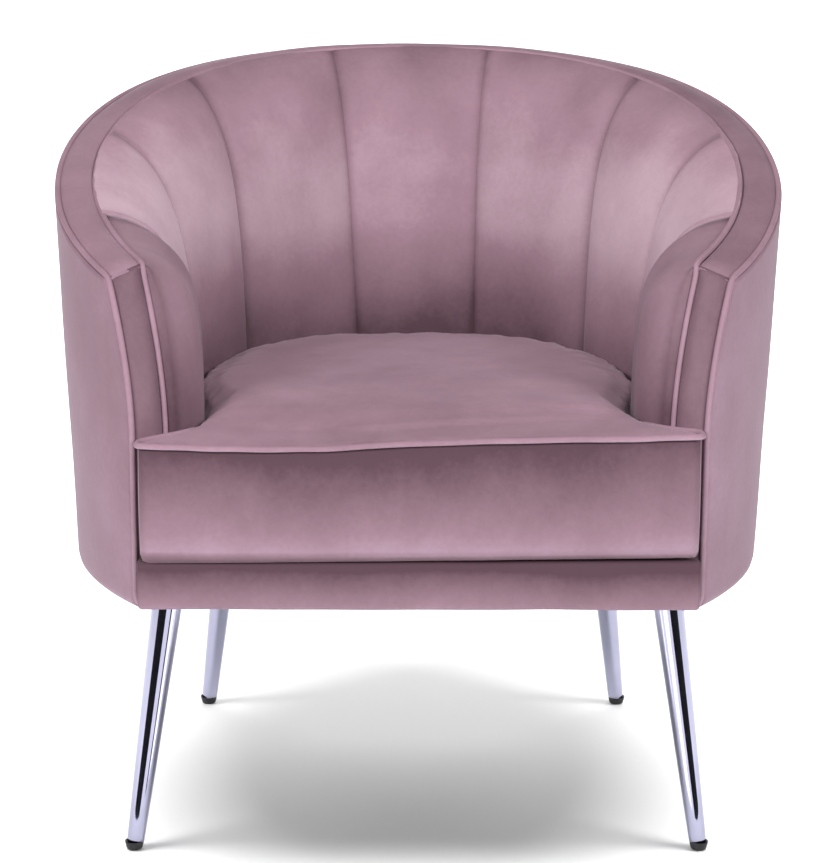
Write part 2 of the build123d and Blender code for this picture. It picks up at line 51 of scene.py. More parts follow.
# Camera: a long lens a little above arm height, square on to the front of the chair and
# turned down at the seat.
eye = bpy.data.objects.new("camera", bpy.data.cameras.new("camera"))
scene.collection.objects.link(eye)
eye.location = (-0.0321, -2.8538, 1.0226)
looking = Vector((0.01121, 0.97513, -0.22136))
tilt = Quaternion((0, 0, 1), 0.00485)
eye.rotation_mode = "QUATERNION"
eye.rotation_quaternion = looking.to_track_quat("-Z", "Y") @ tilt
eye.data.sensor_width = 36
eye.data.lens = 113.94
eye.data.shift_x = -0.0014
eye.data.clip_end = 60
scene.camera = eye
scene.view_settings.view_transform = "Standard"


# Material recipes. A Signal is a value that varies over a surface: arithmetic on it adds
# Math nodes, and a Recipe makes every other node and holds the finished material.
class Signal:
    def __init__(self, recipe, socket):
        self.recipe = recipe
        self.socket = socket

    def math(self, operation, *values):
        return self.recipe.node("ShaderNodeMath", {"operation": operation}, *values)

    def __add__(self, other):
        return self.math("ADD", self, other)

    def __sub__(self, other):
        return self.math("SUBTRACT", self, other)

    def __rsub__(self, other):
        return self.math("SUBTRACT", other, self)

    def __mul__(self, other):
        return self.math("MULTIPLY", self, other)

    __radd__ = __add__
    __rmul__ = __mul__


class Recipe:
    def __init__(self, name, **constants):
        self.material = bpy.data.materials.new(name)
        self.material.use_nodes = True
        self.tree = self.material.node_tree
        self.shader = self.tree.nodes["Principled BSDF"]
        for label, value in constants.items():
            self.shader.inputs[label.replace("_", " ")].default_value = value
        self.place = self.node("ShaderNodeTexCoord", {}, output="Object")

    def node(self, kind, settings, *values, output=0, **named):
        made = self.tree.nodes.new(kind)
        for key, value in settings.items():
            setattr(made, key, value)
        fed = list(enumerate(values)) + [(k.replace("_", " "), v) for k, v in named.items()]
        for key, value in fed:
            if isinstance(value, Signal):
                self.tree.links.new(value.socket, made.inputs[key])
            else:
                made.inputs[key].default_value = value
        return Signal(self, made.outputs[output])

    def stretched(self, scale):
        return self.node("ShaderNodeMapping", {}, Vector=self.place, Scale=scale)

    def noise(self, scale, detail=2.0, where=None, rough=0.5):
        where = where or self.place
        return self.node("ShaderNodeTexNoise", {}, Vector=where, Scale=scale, Detail=detail,
                         Roughness=rough)

    def mix(self, share, low, high):
        low, high = ((*tone, 1) if isinstance(tone, tuple) else tone for tone in (low, high))
        made = self.tree.nodes.new("ShaderNodeMix")
        made.data_type = "RGBA"
        for number, value in ((0, share), (6, low), (7, high)):
            if isinstance(value, Signal):
                self.tree.links.new(value.socket, made.inputs[number])
            else:
                made.inputs[number].default_value = value
        return Signal(self, made.outputs[2])

    def feed(self, label, signal):
        self.tree.links.new(signal.socket, self.shader.inputs[label])

    def bump(self, height, distance, strength=1.0):
        normal = self.node("ShaderNodeBump", {}, Height=height, Distance=distance,
                           Strength=strength)
        self.feed("Normal", normal)


def between(signal, low, high):
    """Clamped 0 to 1 ramp of a signal between two values."""
    return signal.recipe.node("ShaderNodeMapRange", {}, Value=signal, From_Min=low, From_Max=high)


# Velvet: cut pile on a knitted back, dusky mauve. Its colour runs from deep to pale over soft
# brushed patches of random tone, with painted shade on surfaces that face up, and each piece
# adds its own painted light and shade, and random clouds, in a point attribute from about -1 to 1.
def velvet(name, pale, shade=1.0):
    made = Recipe(name, Sheen_Weight=0.12, Sheen_Roughness=0.35, Sheen_Tint=(0.95, 0.9, 1.0, 1),
                  Specular_IOR_Level=0.2)
    facing = made.node("ShaderNodeNewGeometry", {}, output="Normal")
    upward = made.node("ShaderNodeSeparateXYZ", {}, facing, output="Z")
    light_and_tone = made.node("ShaderNodeAttribute", {"attribute_name": "light_and_tone"}, output="Fac")
    clouds = made.noise(5.5, 2.0)
    patches = made.noise(17.0, 3.0, rough=0.6)
    brushed = made.noise(30.0, 3.0, where=made.stretched((1.0, 1.0, 0.35)))
    mottle = made.noise(170.0, 3.0, rough=0.65)
    pile = made.noise(1500.0, 1.0)
    share = between(clouds * 0.4 + patches * 0.3 + brushed * 0.12 + mottle * 0.18, 0.36, 0.64)
    # Painted shade: upward-facing surfaces are darkened, and the attribute adds painted light and
    # shade.
    shade_and_tone = between(share * 0.44 - upward * 0.5 + light_and_tone, -0.9, 1.3)
    deep, middle = (0.068, 0.034, 0.045), (0.225, 0.137, 0.170)
    deep, middle, pale = (tuple(shade * part for part in tone) for tone in (deep, middle, pale))
    lower = made.mix(between(shade_and_tone, 0.0, 0.5), deep, middle)
    made.feed("Base Color", made.mix(between(shade_and_tone, 0.5, 1.0), lower, pale))
    made.feed("Roughness", 0.6 + share * 0.2)
    made.bump(patches * 0.3 + mottle * 0.5 + pile * 0.25, 0.0007, 0.6)
    return made.material


# Lit copies of one velvet: the body's pale tone is bluer, painted cool light; the ribs' is paler
# and warmer, painted warm light; the piping's is lighter all over, a painted highlight.
body_velvet = velvet("velvet", (0.420, 0.300, 0.390))
inner_velvet_warm_lit = velvet("inner_velvet_warm_lit", (0.460, 0.340, 0.385))
piping_velvet_highlit = velvet("piping_velvet_highlit", (0.430, 0.315, 0.390), shade=1.15)


# Outer shell: one velvet skin stretched round a bent panel, from the rim down to the bottom
# edge, where it turns under and is stapled below the black bottom cloth.
PLAN_CENTRE_Y = -0.0707
HALF_WIDTH, BACK_DEPTH, FRONT_DEPTH = 0.3665, 0.404, 0.3852
REFERENCE_HEIGHT = 0.65
SIDE_FLARE, BACK_RAKE = 0.045, 0.11
BODY_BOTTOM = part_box("outer_cover")[0].z
RIM_FRONT_Y, RIM_BACK_Y = -0.2961, 0.345
RIM_FRONT_HEIGHT, RIM_BACK_HEIGHT = 0.5905, 0.7559
MOUTH_HALF_WIDTH, MOUTH_FLARE = 0.274, 0.022
MOUTH_FLARE_START = 0.44
WALL = 0.0389
EDGE_RADIUS = 0.005
TURN_UNDER, TURN_START = 0.026, 0.010
HEM = 0.08


def wall_point(angle, height, inset, back_extra=0.0):
    """Point of the wall at a plan angle from the middle of the back."""
    rise = height - REFERENCE_HEIGHT
    half_width = HALF_WIDTH + SIDE_FLARE * rise - inset
    if cos(angle) > 0:
        depth = BACK_DEPTH + BACK_RAKE * rise - inset - back_extra * cos(angle) ** 2
    else:
        depth = FRONT_DEPTH - inset
    return Vector((half_width * sin(angle), PLAN_CENTRE_Y + depth * cos(angle), height))


def rim_height(y):
    """Height of the outer piping, a cubic from the arm fronts to the back."""
    s = (y - RIM_FRONT_Y) / (RIM_BACK_Y - RIM_FRONT_Y)
    s = max(-0.05, min(1.05, s))
    bow = 3 * (1 - s) ** 2 * s * 0.414 + 3 * (1 - s) * s * s * 0.870 + s**3
    return RIM_FRONT_HEIGHT + (RIM_BACK_HEIGHT - RIM_FRONT_HEIGHT) * bow


def inner_lift(height):
    """How much higher the inner piping runs than the outer."""
    share = (height - RIM_FRONT_HEIGHT) / (RIM_BACK_HEIGHT - RIM_FRONT_HEIGHT)
    return 0.0026 + 0.0038 * share


def rim_at(angle, inset=0.0):
    """Height of the rim line at a plan angle."""
    height = REFERENCE_HEIGHT
    for _ in range(8):
        height = rim_height(wall_point(angle, height, inset).y)
    return height


def mouth_angle(height):
    """Plan angle where the arms end at a height."""
    rise = max(0.0, min(height, RIM_FRONT_HEIGHT) - MOUTH_FLARE_START)
    share = rise / (RIM_FRONT_HEIGHT - MOUTH_FLARE_START)
    half_width = HALF_WIDTH + SIDE_FLARE * (height - REFERENCE_HEIGHT)
    return pi - asin((MOUTH_HALF_WIDTH + MOUTH_FLARE * share**1.8) / half_width)


ARM_END = mouth_angle(RIM_FRONT_HEIGHT)


def grid_piece(name, columns, rows, place, light_and_tone_at, material):
    """Sheet of a grid: functions of two shares from 0 to 1 place its points and paint its light,
    shade and tone.
    """
    bm = bmesh.new()
    bmesh.ops.create_grid(bm, x_segments=columns, y_segments=rows, size=0.5)
    light_and_tone = bm.verts.layers.float.new("light_and_tone")
    for vert in bm.verts:
        u, v = vert.co.x + 0.5, vert.co.y + 0.5
        vert.co = place(u, v)
        vert[light_and_tone] = light_and_tone_at(u, v, vert.co)
    return mesh_piece(name, bm, material)


def mesh_piece(name, bm, material):
    """Object of a finished bmesh, smooth shaded."""
    for face in bm.faces:
        face.smooth = True
    mesh = bpy.data.meshes.new(name)
    bm.to_mesh(mesh)
    bm.free()
    mesh.materials.append(material)
    piece = bpy.data.objects.new(name, mesh)
    scene.collection.objects.link(piece)
    return piece


def thicken(piece, thickness):
    """Closes a sheet into a skin by giving it a thickness on its back."""
    wall = piece.modifiers.new("thickness", "SOLIDIFY")
    wall.thickness = thickness
    wall.offset = -1
    return piece


def shell_point(u, v):
    """Places the skin: half its hem lies flat underneath, half is the rounded edge."""
    top = rim_at((2 * u - 1) * ARM_END) - 0.002
    if v < HEM / 2:
        inset, height = TURN_UNDER - (TURN_UNDER - TURN_START) * v / (HEM / 2), BODY_BOTTOM
    elif v < HEM:
        bend = (v / HEM - 0.5) * pi
        inset, height = EDGE_RADIUS * (1 - sin(bend)), BODY_BOTTOM + EDGE_RADIUS * (1 - cos(bend))
    else:
        start = BODY_BOTTOM + EDGE_RADIUS
        inset, height = 0.0, start + (top - start) * (v - HEM) / (1 - HEM)
    angle = (2 * u - 1) * mouth_angle(height)
    ripple = 0.0011 * noise.noise(Vector((angle * 2.2, height * 7, 3.0)))
    return wall_point(angle, height, inset - ripple)


def shell_lay(u, v, point):
    """Combs the skin: nearly straight down, in broad soft clouds."""
    return 0.03 + 0.20 * noise.noise(point * 3.1)


shell = thicken(grid_piece("outer_shell", 220, 60, shell_point, shell_lay, body_velvet), 0.003)
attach(shell, "root")
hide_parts("outer_cover")


# Piping: round cord in a velvet sleeve. The outer one runs up each arm front, round the rim
# and down again; its ends turn under the bottom edge. The inner one tops the ribs.
PIPING_RADIUS = 0.0029
PIPING_TAIL = ((0.002, 0.005), (0.008, 0.0085), (0.018, 0.0095))


def tube(name, points, radius, material):
    """Round cord along a list of points, with closed ends."""
    curve = bpy.data.curves.new(name, "CURVE")
    curve.dimensions = "3D"
    curve.bevel_depth = radius
    curve.bevel_resolution = 4
    curve.use_fill_caps = True
    spline = curve.splines.new("NURBS")
    spline.points.add(len(points) - 1)
    for knot, point in zip(spline.points, points):
        knot.co = (*point, 1)
    spline.order_u = 4
    spline.use_endpoint_u = True
    spline.resolution_u = 3
    holder = bpy.data.objects.new(name, curve)
    scene.collection.objects.link(holder)
    bpy.context.view_layer.update()
    mesh = bpy.data.meshes.new_from_object(holder)
    bpy.data.objects.remove(holder)
    bm = bmesh.new()
    bm.from_mesh(mesh)
    bpy.data.meshes.remove(mesh)
    bmesh.ops.remove_doubles(bm, verts=bm.verts, dist=1e-5)
    bmesh.ops.recalc_face_normals(bm, faces=bm.faces)
    return mesh_piece(name, bm, material)


def front_edge(side, height, inset):
    """Point on an arm's front edge."""
    point = wall_point(mouth_angle(height), height, inset)
    return Vector((side * point.x, point.y - 0.0015, height))


def piping_line(inset, low, lift, wave):
    """Route of a piping from the foot of one arm front to the foot of the other."""
    steps = 26
    high = rim_at(ARM_END, inset)
    high += lift(high)
    fronts = [low + (high - low) * k / steps for k in range(steps)]
    points = [front_edge(-1, height, inset) for height in fronts]
    for k in range(121):
        angle = (k / 60 - 1) * ARM_END
        height = rim_at(angle, inset)
        shift = wave * noise.noise(Vector((angle * 4, inset * 90, 1.0)))
        point = wall_point(angle, height, inset + shift)
        points.append(point + Vector((0, 0, lift(height) + shift)))
    points += [front_edge(1, height, inset) for height in reversed(fronts)]
    return points


def tail(foot, side):
    """Points that take the end of a piping in under the bottom edge."""
    return [foot + Vector((-side * inward, 0.004, -drop)) for inward, drop in PIPING_TAIL]


rim_line = piping_line(0.0004, BODY_BOTTOM + 0.006, lambda height: 0.0, 0.0006)
outer_line = tail(rim_line[0], -1)[::-1] + rim_line + tail(rim_line[-1], 1)
outer_piping = tube("outer_piping", outer_line, PIPING_RADIUS, piping_velvet_highlit)
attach(outer_piping, "root")
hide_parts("outer_piping")

inner_line = piping_line(WALL, 0.43, inner_lift, 0.0014)
inner_piping = tube("inner_piping", inner_line, PIPING_RADIUS, piping_velvet_highlit)
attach(inner_piping, "root")
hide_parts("inner_piping")


# Rim pad: a narrow band of velvet over wadding on top of the wall. It is sewn between the
# two pipings, and across to a facing at the front of each arm.
def rim_point(u, v):
    """Places the band, crowned between the pipings and flat at its two ends."""
    angle = (2 * u - 1) * (ARM_END + 0.0045)
    inset = 0.0015 + (WALL - 0.003) * v
    outer = rim_at(angle)
    inner = rim_at(angle, WALL)
    ends = min(1.0, ((1 - abs(2 * u - 1)) * 60) ** 0.5)
    crown = 0.0066 * (1 - abs(2 * v - 1) ** 3) ** 0.8 * ends - 0.0020
    crown += 0.0007 * noise.noise(Vector((angle * 5, v * 3, 7.0)))
    height = outer + (inner + inner_lift(inner) - outer) * v
    point = wall_point(angle, height, inset)
    return point + Vector((0, 0, crown))


def rim_painted_light(u, v, point):
    """Paints the band: painted light, paler on the left arm than on the right, over random clouds.
    """
    return -0.04 - 0.16 * (2 * u - 1) + 0.16 * noise.noise(point * 6)


rim_pad = thicken(grid_piece("rim_pad", 260, 12, rim_point, rim_painted_light, body_velvet), -0.006)
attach(rim_pad, "root")
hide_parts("rim_pad")


# Arm facings: thin strips of velvet over wadding, nailed to the arm posts. Each closes the
# front end of its arm between the outer and the inner piping.
FACING_FOOT = 0.318


def facing_point(side):
    """Places the grid of one facing."""
    def place(u, v):
        inner_top = rim_at(ARM_END, WALL)
        inner_top += inner_lift(inner_top)
        top = RIM_FRONT_HEIGHT + (inner_top - RIM_FRONT_HEIGHT) * u
        height = FACING_FOOT + (top - FACING_FOOT) * v
        outer, inner = front_edge(side, height, 0.001), front_edge(side, height, WALL - 0.001)
        point = outer.lerp(inner, u)
        swell = (1 - abs(2 * u - 1) ** 3) ** 0.8 * min(1.0, ((1 - v) * 30) ** 0.5)
        ripple = 0.0010 * noise.noise(Vector((u * 2, height * 18, 9.0 + side)))
        outward = Vector((-side * 0.5, -0.86, 0))
        return point + outward * (0.0062 * swell - 0.0024 + ripple)
    return place


def facing_painted_shade(u, v, point):
    """Paints a facing: painted shade beside the pipings and towards the top."""
    return -0.58 + 0.35 * (1 - abs(2 * u - 1) ** 2) - 0.25 * v


for side, name in ((-1, "left"), (1, "right")):
    facing = grid_piece(f"arm_facing_{name}", 10, 70, facing_point(side), facing_painted_shade, body_velvet)
    thicken(facing, -0.006 * side)
    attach(facing, "root")
    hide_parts(f"arm_facing_{name}")


# Ribs: nine upright padded channels sewn through to the liner. They spring from under the
# inner piping, full over a soft shoulder, and are pulled in at every seam. The two end ribs
# fold round the arm fronts and lie flat against the cushion.
SEAMS_TOP = (-107.5, -77.2, -49.4, -16.8, 14.6, 48.2, 77.2, 107.5)
SEAMS_LOW = (-107.5, -79.2, -51.8, -14.4, 14.9, 51.6, 79.2, 107.5)
RIB_FOOT = 0.345
RIB_ROOT = 0.0370
ARM_RIB_X = 0.2128
SEAM_INSETS = ((0, 0.088), (16, 0.091), (50, 0.116), (78, 0.114), (107, 0.106), (140, 0.106))
SEAM_SHOULDERS = ((0, 0.070), (60, 0.066), (80, 0.045), (107, 0.016), (140, 0.016))
CREST_SHOULDERS = ((0, 0.046), (62, 0.050), (92, 0.040), (112, 0.024), (140, 0.024))
CREST = 0.016


def along(table, value):
    """Value read between the rows of a table."""
    for (low, start), (high, end) in zip(table, table[1:]):
        if value <= high:
            share = max(0.0, (value - low) / (high - low))
            return start + (end - start) * share
    return table[-1][1]


def seam_angle(number, height):
    """Plan angle of a seam at a height, from the first at the left arm to the last."""
    share = min(1.0, max(0.0, (height - 0.44) / 0.3))
    return radians(SEAMS_LOW[number] + (SEAMS_TOP[number] - SEAMS_LOW[number]) * share)


def shoulder(drop, reach):
    """Share of the full thickness at a drop below the inner piping."""
    return 1 - exp(-((max(drop, 0.0) / reach) ** 0.8))


def puckers(angle, drop, number):
    """Small gathers that die out below the inner piping."""
    fold = noise.noise(Vector((angle * 26, drop * 12, number * 3.1)))
    return 0.0016 * fold * exp(-drop / 0.03)


def rib_point(number):
    """Places the grid of a back or side rib."""
    def place(u, v):
        spread = 0.6 * u + 0.4 * (1 - cos(pi * u)) / 2
        middle = (seam_angle(number - 1, 0.7) * (1 - spread)) + seam_angle(number, 0.7) * spread
        top = rim_at(middle, WALL)
        top += inner_lift(top) - 0.0022
        drop = (top - RIB_FOOT) * v**1.5
        height = top - drop
        angle = seam_angle(number - 1, height) * (1 - spread) + seam_angle(number, height) * spread
        turn = abs(angle) * 180 / pi
        seam = shoulder(drop, along(SEAM_SHOULDERS, turn)) * (along(SEAM_INSETS, turn) - RIB_ROOT)
        full = shoulder(drop, along(CREST_SHOULDERS, turn))
        full *= along(SEAM_INSETS, turn) + CREST - RIB_ROOT
        swell = (1 - abs(2 * spread - 1) ** 2.5) ** 0.6
        inset = RIB_ROOT + seam + (full - seam) * swell
        inset += puckers(angle, drop, number) * swell
        inset += 0.0016 * noise.noise(Vector((angle * 5, height * 8, number * 1.7))) * swell
        return wall_point(angle, height, inset)
    return place


def arm_rib_point(side):
    """Places the grid of an end rib: out from the last seam, along the cushion, round the front."""
    def place(u, v):
        spread = 0.45 * u + 0.55 * sin(pi / 2 * u)
        seam = abs(seam_angle(7, 0.6))
        angle = seam + (ARM_END - seam) * spread
        top = rim_at(angle, WALL)
        top += inner_lift(top) - 0.0022
        drop = (top - RIB_FOOT) * v**1.5
        height = top - drop
        front = mouth_angle(height) + radians(0.6)
        angle = seam + (front - seam) * spread
        turn = angle * 180 / pi
        flat = 0.3665 + SIDE_FLARE * (height - REFERENCE_HEIGHT) - ARM_RIB_X / sin(angle)
        sewn = along(SEAM_INSETS, 107)
        if spread < 0.3:
            rise = sin(pi / 2 * spread / 0.3) ** 0.7
            full = sewn + (flat - sewn) * rise
            reach = along(SEAM_SHOULDERS, 107) * (1 - rise) + 0.024 * rise
        else:
            full, reach = flat, 0.024
        root = RIB_ROOT + 0.0042
        if spread > 0.62:
            bend = (spread - 0.62) / 0.38
            full = root + (full - root) * (1 - bend**2.4) ** 0.5
            angle += radians(1.5) * sin(pi * bend**0.8) * min(1.0, drop / 0.03)
        inset = root + (full - root) * shoulder(drop, reach)
        inset += puckers(angle, drop, side)
        inset += 0.0012 * noise.noise(Vector((turn * 0.1, height * 9, side)))
        point = wall_point(angle, height, inset)
        return Vector((side * point.x, point.y, point.z))
    return place


# Painted light and shade on the ribs by height: shaded at the foot, lit half way up.
PAINTED_LIGHT_BY_HEIGHT = ((0.45, -0.95), (0.50, -0.45), (0.57, 0.06), (0.63, 0.14), (0.70, 0.00),
                 (0.76, -0.25))


def rib_painted_light(number):
    """Paints a rib: painted light half way up and on side ribs, painted shade at its foot and
    seams.
    """
    turned = abs(number - 4) / 4

    def light_and_tone_at(u, v, point):
        # Painted shade beside the seams, and a painted highlight half way up the side ribs.
        seam = exp(-((min(u, 1 - u) / 0.05) ** 2))
        side_rib_highlight = 1.5 * turned * (1 - turned**6) * exp(-(((point.z - 0.6) / 0.09) ** 2))
        brushed = 0.22 * noise.noise(Vector((point.x * 16, point.y * 16, point.z * 2.5)))
        upright = along(PAINTED_LIGHT_BY_HEIGHT, point.z) * (1 - 0.4 * turned)
        return upright + side_rib_highlight - 0.55 * seam + brushed
    return light_and_tone_at


for number in range(9):
    name = f"rib_{number + 1}"
    if number in (0, 8):
        side = -1 if number == 0 else 1
        rib = grid_piece(name, 44, 90, arm_rib_point(side), rib_painted_light(number), inner_velvet_warm_lit)
        thicken(rib, -0.005 * side)
    else:
        rib = grid_piece(name, 34, 90, rib_point(number), rib_painted_light(number), inner_velvet_warm_lit)
        thicken(rib, 0.005)
    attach(rib, "root")
    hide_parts(name)


# Seat cushion: a boxed T of foam in velvet. Its wings lie across the arm fronts, its top is
# crowned, and the boxing rolls under at its foot. A welt is sewn in the top edge, and the
# panels between the seams are swollen as cloth under pressure.
SEAT_LOW, SEAT_EDGE = 0.3245, 0.443
BOXING_BULGE = 0.0060
CROWN = 0.0145
VOXEL = 0.0055
SWELL_PRESSURE, MOST_SWELL = 4.0, 0.008
SEAT_OUTLINE = (
    (0.0, -0.3445), (0.09, -0.3445), (0.18, -0.3435), (0.2475, -0.342), (0.2665, -0.3405),
    (0.2675, -0.3325), (0.2665, -0.3205), (0.252, -0.3085), (0.234, -0.292), (0.2165, -0.275),
    (0.2105, -0.258), (0.2105, -0.226), (0.2135, -0.180), (0.226, -0.130), (0.2335, -0.0707),
    (0.226, 0.000), (0.208, 0.062), (0.180, 0.114), (0.135, 0.165), (0.070, 0.203), (0.0, 0.2125),
)


def seat_edge(x, y):
    """Height of the cushion's top seam: a little lower on the left, and slightly wavy."""
    front = max(0.0, min(1.0, (-y - 0.2) / 0.12))
    wave = 0.0042 * x / 0.26 - 0.0055 * exp(-(((x + 0.13) / 0.11) ** 2))
    return SEAT_EDGE + wave * front - 0.002 * (1 - front)


def seat_solid():
    """Prism on the cushion's outline, remeshed into even squares."""
    curve = bpy.data.curves.new("outline", "CURVE")
    curve.dimensions = "2D"
    curve.fill_mode = "BOTH"
    curve.extrude = (SEAT_EDGE - SEAT_LOW) / 2
    spline = curve.splines.new("NURBS")
    loop = list(SEAT_OUTLINE) + [(-x, y) for x, y in reversed(SEAT_OUTLINE[1:-1])]
    spline.points.add(len(loop) - 1)
    for knot, (x, y) in zip(spline.points, loop):
        knot.co = (x, y, 0, 1)
    spline.order_u = 3
    spline.use_cyclic_u = True
    spline.resolution_u = 8
    holder = bpy.data.objects.new("outline", curve)
    scene.collection.objects.link(holder)
    bpy.context.view_layer.update()
    mesh = bpy.data.meshes.new_from_object(holder)
    bpy.data.objects.remove(holder)
    bm = bmesh.new()
    bm.from_mesh(mesh)
    bpy.data.meshes.remove(mesh)
    bmesh.ops.remove_doubles(bm, verts=bm.verts, dist=1e-6)
    bmesh.ops.recalc_face_normals(bm, faces=bm.faces)
    bmesh.ops.translate(bm, verts=bm.verts, vec=(0, 0, (SEAT_EDGE + SEAT_LOW) / 2))
    piece = mesh_piece("seat_cushion", bm, body_velvet)
    remesh = piece.modifiers.new("even", "REMESH")
    remesh.mode = "VOXEL"
    remesh.voxel_size = VOXEL
    apply_modifiers(piece)
    return piece


def apply_modifiers(piece):
    """Bakes a piece's modifiers into its mesh."""
    graph = bpy.context.evaluated_depsgraph_get()
    mesh = bpy.data.meshes.new_from_object(piece.evaluated_get(graph))
    old = piece.data
    piece.modifiers.clear()
    piece.data = mesh
    bpy.data.meshes.remove(old)
    for face in mesh.polygons:
        face.use_smooth = True


def crown(x, y):
    """How far the cushion's top rises above its seam."""
    across = max(0.0, 1 - abs(x / 0.285) ** 2.6)
    deep = max(0.0, 1 - abs((y + 0.07) / 0.285) ** 2.6)
    return CROWN * across * deep


seat = seat_solid()
for vert in seat.data.vertices:
    x, y, z = vert.co
    share = (z - SEAT_LOW) / (SEAT_EDGE - SEAT_LOW)
    vert.co.z = SEAT_LOW + share * (seat_edge(x, y) + crown(x, y) - SEAT_LOW)
    front = max(0.0, min(1.0, (-y - 0.325) / 0.015))
    vert.co.y -= front * BOXING_BULGE * (1 - abs(2 * share - 0.85) ** 2.2)
    under = min(1.0, max(0.0, 1 - share / 0.2))
    vert.co.y += front * 0.016 * (1 - (1 - under**2) ** 0.5)
    vert.co.z += front * under * (0.0135 * x - 0.0030)
    vert.co += vert.normal * 0.0008 * noise.noise(Vector((x * 14, y * 14, z * 14)))


def puff(piece, held, pressure, most):
    """Swells a piece as cloth under air pressure, except where it is held by its seams."""
    rest = [vert.co.copy() for vert in piece.data.vertices]
    seams = piece.vertex_groups.new(name="seams")
    for number, point in enumerate(rest):
        seams.add([number], held(point), "REPLACE")
    swell = piece.modifiers.new("swell", "CLOTH")
    swell.settings.quality = 4
    swell.settings.mass = 0.3
    swell.settings.use_pressure = True
    swell.settings.uniform_pressure_force = pressure
    swell.settings.effector_weights.gravity = 0
    swell.settings.vertex_group_mass = "seams"
    swell.point_cache.frame_start, swell.point_cache.frame_end = 1, 20
    for step in range(1, 21):
        scene.frame_set(step)
    apply_modifiers(piece)
    scene.frame_set(1)
    piece.vertex_groups.clear()
    for vert, start in zip(piece.data.vertices, rest):
        move = vert.co - start
        if move.length > most:
            vert.co = start + move * (most / move.length)


def seat_held(point):
    """1 along the welt, the foot seam and the underside, 0 in the middle of the panels."""
    top = seat_edge(point.x, point.y)
    share = (point.z - SEAT_LOW) / (top - SEAT_LOW)
    if share < 0.14:
        return 1.0
    return 1.0 if abs(share - 1) < 0.05 and point.y < -0.26 else 0.0


puff(seat, seat_held, SWELL_PRESSURE, MOST_SWELL)


def paint_light_and_tone(piece, light_and_tone_at):
    """Writes a finished piece's painted light, shade and tone into a point attribute."""
    light_and_tone = piece.data.attributes.new("light_and_tone", "FLOAT", "POINT")
    light_and_tone.data.foreach_set("value", [light_and_tone_at(vert.co) for vert in piece.data.vertices])


def seat_painted_light(point):
    """Paints the cushion's light: its top evenly, with painted shade towards the back, and its
    boxing from painted shade at the welt to painted light below, with painted shade underneath.
    """
    top = seat_edge(point.x, point.y)
    share = max(0.0, (point.z - SEAT_LOW) / (top - SEAT_LOW))
    if share > 1 or (point.y > -0.336 and share > 0.3):
        back = max(0.0, (point.y - 0.05) / 0.16)
        return 0.16 - 0.25 * back + 0.14 * noise.noise(point * 7)
    under = exp(-((share / 0.05) ** 2))
    brushed = 0.12 * noise.noise(Vector((point.x * 6, 0, point.z * 10)))
    return 0.42 - 1.5 * share**0.8 - 1.4 * under + brushed


paint_light_and_tone(seat, seat_painted_light)
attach(seat, "root")
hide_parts("seat_cover", "seat_core")


def welt_line():
    """Route of the welt: from one arm rib round the front of the cushion to the other."""
    right = [(x, y) for x, y in SEAT_OUTLINE if y < -0.26]
    route = [(-x, y) for x, y in reversed(right[1:])] + right
    return [Vector((x * 1.004, y - 0.0012, seat_edge(x, y) + 0.0006)) for x, y in route]


def refine(points, step):
    """Splits the runs of a route into even short ones."""
    finer = [points[0]]
    for start, end in zip(points, points[1:]):
        count = max(1, round((end - start).length / step))
        finer += [start.lerp(end, k / count) for k in range(1, count + 1)]
    return finer


wavy = []
for point in refine(welt_line(), 0.012):
    point.z = seat_edge(point.x, point.y) + 0.0009 * noise.noise(point * 30)
    wavy.append(point)
welt = tube("seat_welt", wavy, 0.0030, piping_velvet_highlit)
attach(welt, "root")
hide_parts("seat_welt")


# Apron: a padded velvet border tacked over the front rail. It lies a little behind the
# boxing of the cushion, which overhangs it.
def apron_piece():
    """Bevelled bar cut into small squares, full in front and a little uneven below."""
    low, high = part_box("apron")
    bm = bmesh.new()
    bmesh.ops.create_cube(bm, size=1.0)
    bmesh.ops.scale(bm, verts=bm.verts, vec=(0.541, 0.0115, high.z - BODY_BOTTOM))
    bmesh.ops.translate(bm, verts=bm.verts, vec=(0, -0.3255, (high.z + BODY_BOTTOM) / 2))
    bmesh.ops.bevel(bm, geom=bm.edges[:], affect="EDGES", offset=0.0045, segments=4, profile=0.5,
                    material=-1)
    long_edges = [edge for edge in bm.edges if edge.calc_length() > 0.3]
    bmesh.ops.subdivide_edges(bm, edges=long_edges, cuts=80, use_grid_fill=True)
    tall_edges = [edge for edge in bm.edges if 0.03 < edge.calc_length() < 0.3]
    bmesh.ops.subdivide_edges(bm, edges=tall_edges, cuts=8, use_grid_fill=True)
    for vert in bm.verts:
        share = (vert.co.z - BODY_BOTTOM) / (high.z - BODY_BOTTOM)
        if vert.co.y < -0.3255:
            vert.co.y -= 0.0020 * (1 - (2 * share - 1) ** 2)
            vert.co.y += 0.0008 * noise.noise(vert.co * 20)
        vert.co.z += 0.0008 * noise.noise(Vector((vert.co.x * 12, 0, 4.0))) * (1 - share)
    return mesh_piece("apron", bm, body_velvet)


def apron_painted_shade(point):
    """Paints the border: painted shade, deepest under the overhang of the cushion."""
    low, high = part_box("apron")
    share = max(0.0, (point.z - low.z) / (high.z - low.z))
    return -0.16 - 1.2 * share**1.2 - 0.7 * max(0.0, share - 0.8) / 0.2


apron = apron_piece()
paint_light_and_tone(apron, apron_painted_shade)
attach(apron, "root")
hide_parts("apron")


# Legs: tapered steel tubes, chromed and polished, screwed up into the corner blocks. Each
# foot has a black plastic glide with a flared lip.
chrome = Recipe("chrome", Metallic=1.0)
smudge = chrome.noise(34.0, 3.0)
chrome.feed("Base Color", chrome.mix(smudge, (0.38, 0.38, 0.51), (0.46, 0.46, 0.60)))
chrome.feed("Roughness", 0.045 + smudge * 0.05)

